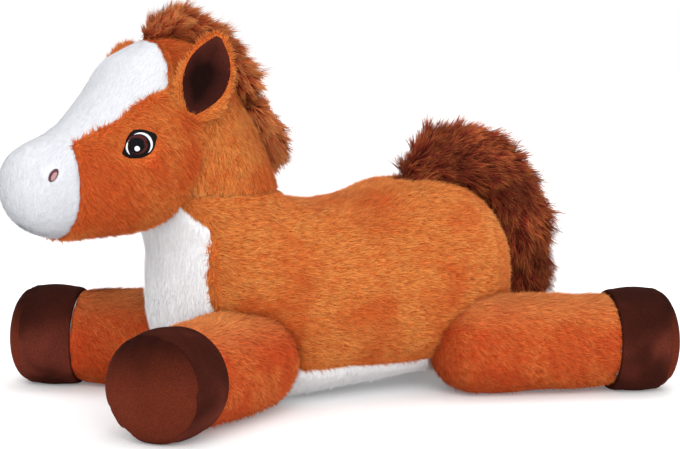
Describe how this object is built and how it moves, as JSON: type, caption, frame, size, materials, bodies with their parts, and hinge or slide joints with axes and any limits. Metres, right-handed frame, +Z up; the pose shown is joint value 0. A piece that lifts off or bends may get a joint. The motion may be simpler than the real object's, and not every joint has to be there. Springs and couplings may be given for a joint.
{
  "type": "plush horse",
  "caption": "Stuffed foal lying on its belly with spread legs, turned head, white blaze and belly, dark velour hooves, long-pile mane, forelock and arched tail.",
  "frame": {"origin": "on the floor under the middle of the toy's outer box", "axes": "+X from the muzzle towards the hind hooves, +Y towards the foal's right side, +Z up"},
  "size_m": [0.5032, 0.293, 0.2807],
  "materials": {
    "chestnut_plush": "short brushed pile",
    "white_plush": "short brushed pile",
    "hoof_velour": "velour",
    "ear_velour": "velour",
    "long_pile": "long loose pile",
    "fibre_fill": "loose fibre",
    "eye_thread": "satin stitch",
    "nostril_thread": "satin stitch"
  },
  "bodies": {
    "trunk": {"torso_plush": "chestnut_plush", "neck_plush": "chestnut_plush", "belly_panel": "white_plush", "body_stuffing": "fibre_fill", "mane": "long_pile"},
    "head": {"cheek_left": "chestnut_plush", "cheek_right": "chestnut_plush", "face_blaze": "white_plush", "head_stuffing": "fibre_fill", "forelock": "long_pile", "eye_left": "eye_thread", "eye_right": "eye_thread", "nostril_left": "nostril_thread", "nostril_right": "nostril_thread"},
    "left_ear": {"ear_left": "chestnut_plush", "ear_lining_left": "ear_velour"},
    "right_ear": {"ear_right": "chestnut_plush", "ear_lining_right": "ear_velour"},
    "tail": {"tail": "long_pile"},
    "left_foreleg": {"fore_left_sleeve": "chestnut_plush", "fore_left_stuffing": "fibre_fill", "fore_left_hoof_cuff": "hoof_velour", "fore_left_sole": "hoof_velour"},
    "right_foreleg": {"fore_right_sleeve": "chestnut_plush", "fore_right_stuffing": "fibre_fill", "fore_right_hoof_cuff": "hoof_velour", "fore_right_sole": "hoof_velour"},
    "left_hindleg": {"hind_left_sleeve": "chestnut_plush", "hind_left_stuffing": "fibre_fill", "hind_left_hoof_cuff": "hoof_velour", "hind_left_sole": "hoof_velour"},
    "right_hindleg": {"hind_right_sleeve": "chestnut_plush", "hind_right_stuffing": "fibre_fill", "hind_right_hoof_cuff": "hoof_velour", "hind_right_sole": "hoof_velour"}
  },
  "joints": [
    {"name": "head_turn", "type": "hinge", "parent": "trunk", "child": "head", "pos_m": [-0.06601, 0, 0.07], "axis": [-0.3024, 0, 0.9532], "range_deg": [-35, 20], "stiffness_Nm_per_rad": 0.6},
    {"name": "left_ear_flop", "type": "hinge", "parent": "head", "child": "left_ear", "pos_m": [-0.12431, -0.04525, 0.20639], "axis": [0.9301, 0.0082, -0.3673], "range_deg": [-4, 20], "stiffness_Nm_per_rad": 0.06},
    {"name": "right_ear_flop", "type": "hinge", "parent": "head", "child": "right_ear", "pos_m": [-0.14405, 0.03202, 0.20013], "axis": [-0.835, -0.3806, 0.3974], "range_deg": [-4, 20], "stiffness_Nm_per_rad": 0.06},
    {"name": "tail_swing", "type": "hinge", "parent": "trunk", "child": "tail", "pos_m": [0.07499, 0, 0.143], "axis": [0, 0, 1], "range_deg": [-12, 12], "stiffness_Nm_per_rad": 0.1},
    {"name": "left_foreleg_splay", "type": "hinge", "parent": "trunk", "child": "left_foreleg", "pos_m": [-0.07901, -0.044, 0.0355], "axis": [0, 0, 1], "range_deg": [-4, 18], "stiffness_Nm_per_rad": 0.4},
    {"name": "right_foreleg_splay", "type": "hinge", "parent": "trunk", "child": "right_foreleg", "pos_m": [-0.07901, 0.044, 0.0355], "axis": [0, 0, -1], "range_deg": [-4, 18], "stiffness_Nm_per_rad": 0.4},
    {"name": "left_hindleg_splay", "type": "hinge", "parent": "trunk", "child": "left_hindleg", "pos_m": [0.10299, -0.058, 0.0355], "axis": [0, 0, -1], "range_deg": [-3, 16], "stiffness_Nm_per_rad": 0.4},
    {"name": "right_hindleg_splay", "type": "hinge", "parent": "trunk", "child": "right_hindleg", "pos_m": [0.10299, 0.058, 0.0355], "axis": [0, 0, 1], "range_deg": [-3, 16], "stiffness_Nm_per_rad": 0.4}
  ]
}
